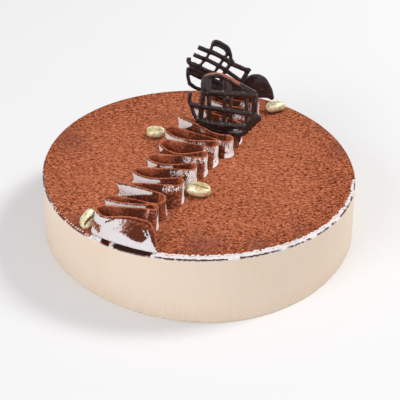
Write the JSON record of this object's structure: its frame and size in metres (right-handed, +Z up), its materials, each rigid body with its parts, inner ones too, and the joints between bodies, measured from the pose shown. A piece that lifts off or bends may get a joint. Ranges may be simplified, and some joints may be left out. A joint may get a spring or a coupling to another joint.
{
  "type": "tiramisu cake",
  "caption": "Round tiramisu mousse cake with a cocoa-dusted top, a piped zigzag cream ruffle across it, upright dark chocolate lattices and gilded coffee-bean sweets.",
  "frame": {"origin": "centre of the flat base of the cake body, on the surface it stands on", "axes": "+Z up through the cake, -Y towards the front that the picture shows, +X to its right"},
  "size_m": [0.2003, 0.2018, 0.0972],
  "materials": {
    "cream": "smooth matt cream",
    "cocoa": "powdery, matt",
    "whipped_cream": "soft satin, dusted brown",
    "dark_chocolate": "glossy, piped",
    "gilded_chocolate": "pale gold lustre"
  },
  "bodies": {
    "root": {"cake_body": "cream", "cocoa_top": "cocoa", "cream_ruffle": "whipped_cream", "chocolate_lattice_front": "dark_chocolate", "chocolate_lattice_back": "dark_chocolate", "coffee_bean_1": "gilded_chocolate", "coffee_bean_2": "gilded_chocolate", "coffee_bean_3": "gilded_chocolate", "coffee_bean_4": "gilded_chocolate"}
  },
  "joints": []
}
